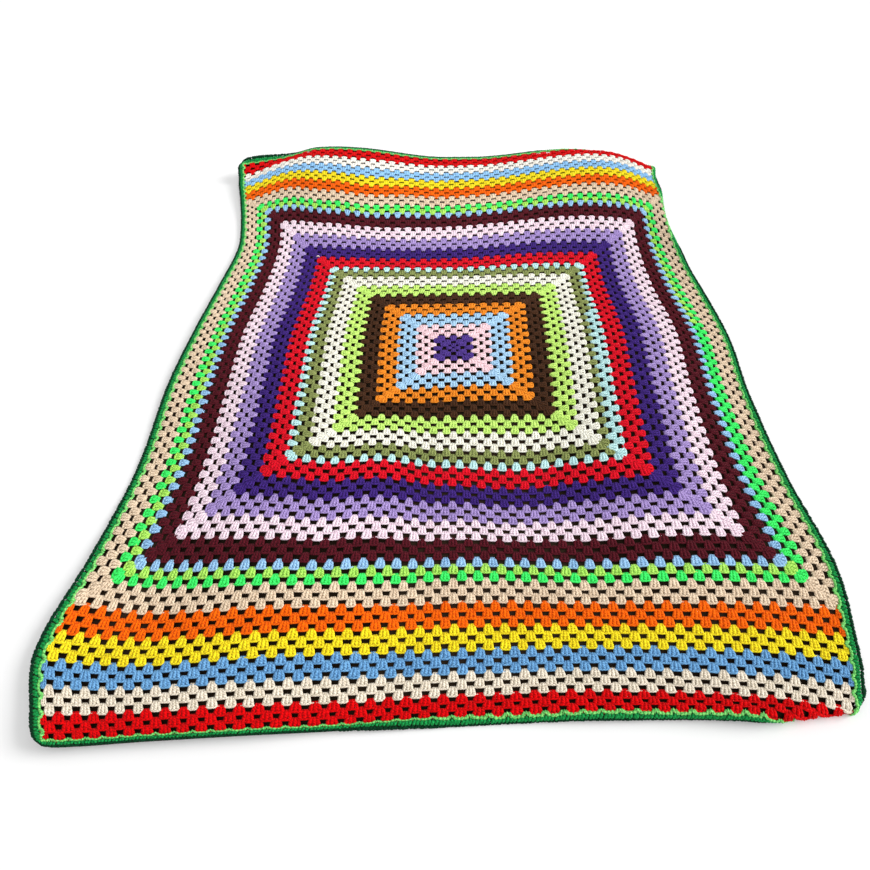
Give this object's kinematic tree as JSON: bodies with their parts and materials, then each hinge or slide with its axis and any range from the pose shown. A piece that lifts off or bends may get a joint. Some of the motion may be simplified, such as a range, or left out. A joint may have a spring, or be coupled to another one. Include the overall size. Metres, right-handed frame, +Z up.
{
  "type": "granny square blanket",
  "caption": "Crocheted granny square blanket with striped end panels and a green edging, laid out loosely with its far end rumpled.",
  "frame": {"origin": "centre of the laid outline's box, on the surface that the blanket lies on", "axes": "+X across the blanket, +Y along it from the near end towards the rumpled far end, +Z up"},
  "size_m": [1.1702, 1.5728, 0.0568],
  "materials": {
    "square_yarn": "matt acrylic yarn, double crochet",
    "far_panel_yarn": "matt acrylic yarn, double crochet",
    "near_panel_yarn": "matt acrylic yarn, double crochet",
    "edging_yarn": "matt acrylic yarn, single crochet"
  },
  "bodies": {
    "root": {"centre_square": "square_yarn", "end_panel_far": "far_panel_yarn", "end_panel_near": "near_panel_yarn", "edging_left": "edging_yarn", "edging_right": "edging_yarn", "edging_far": "edging_yarn", "edging_near": "edging_yarn"}
  },
  "joints": []
}
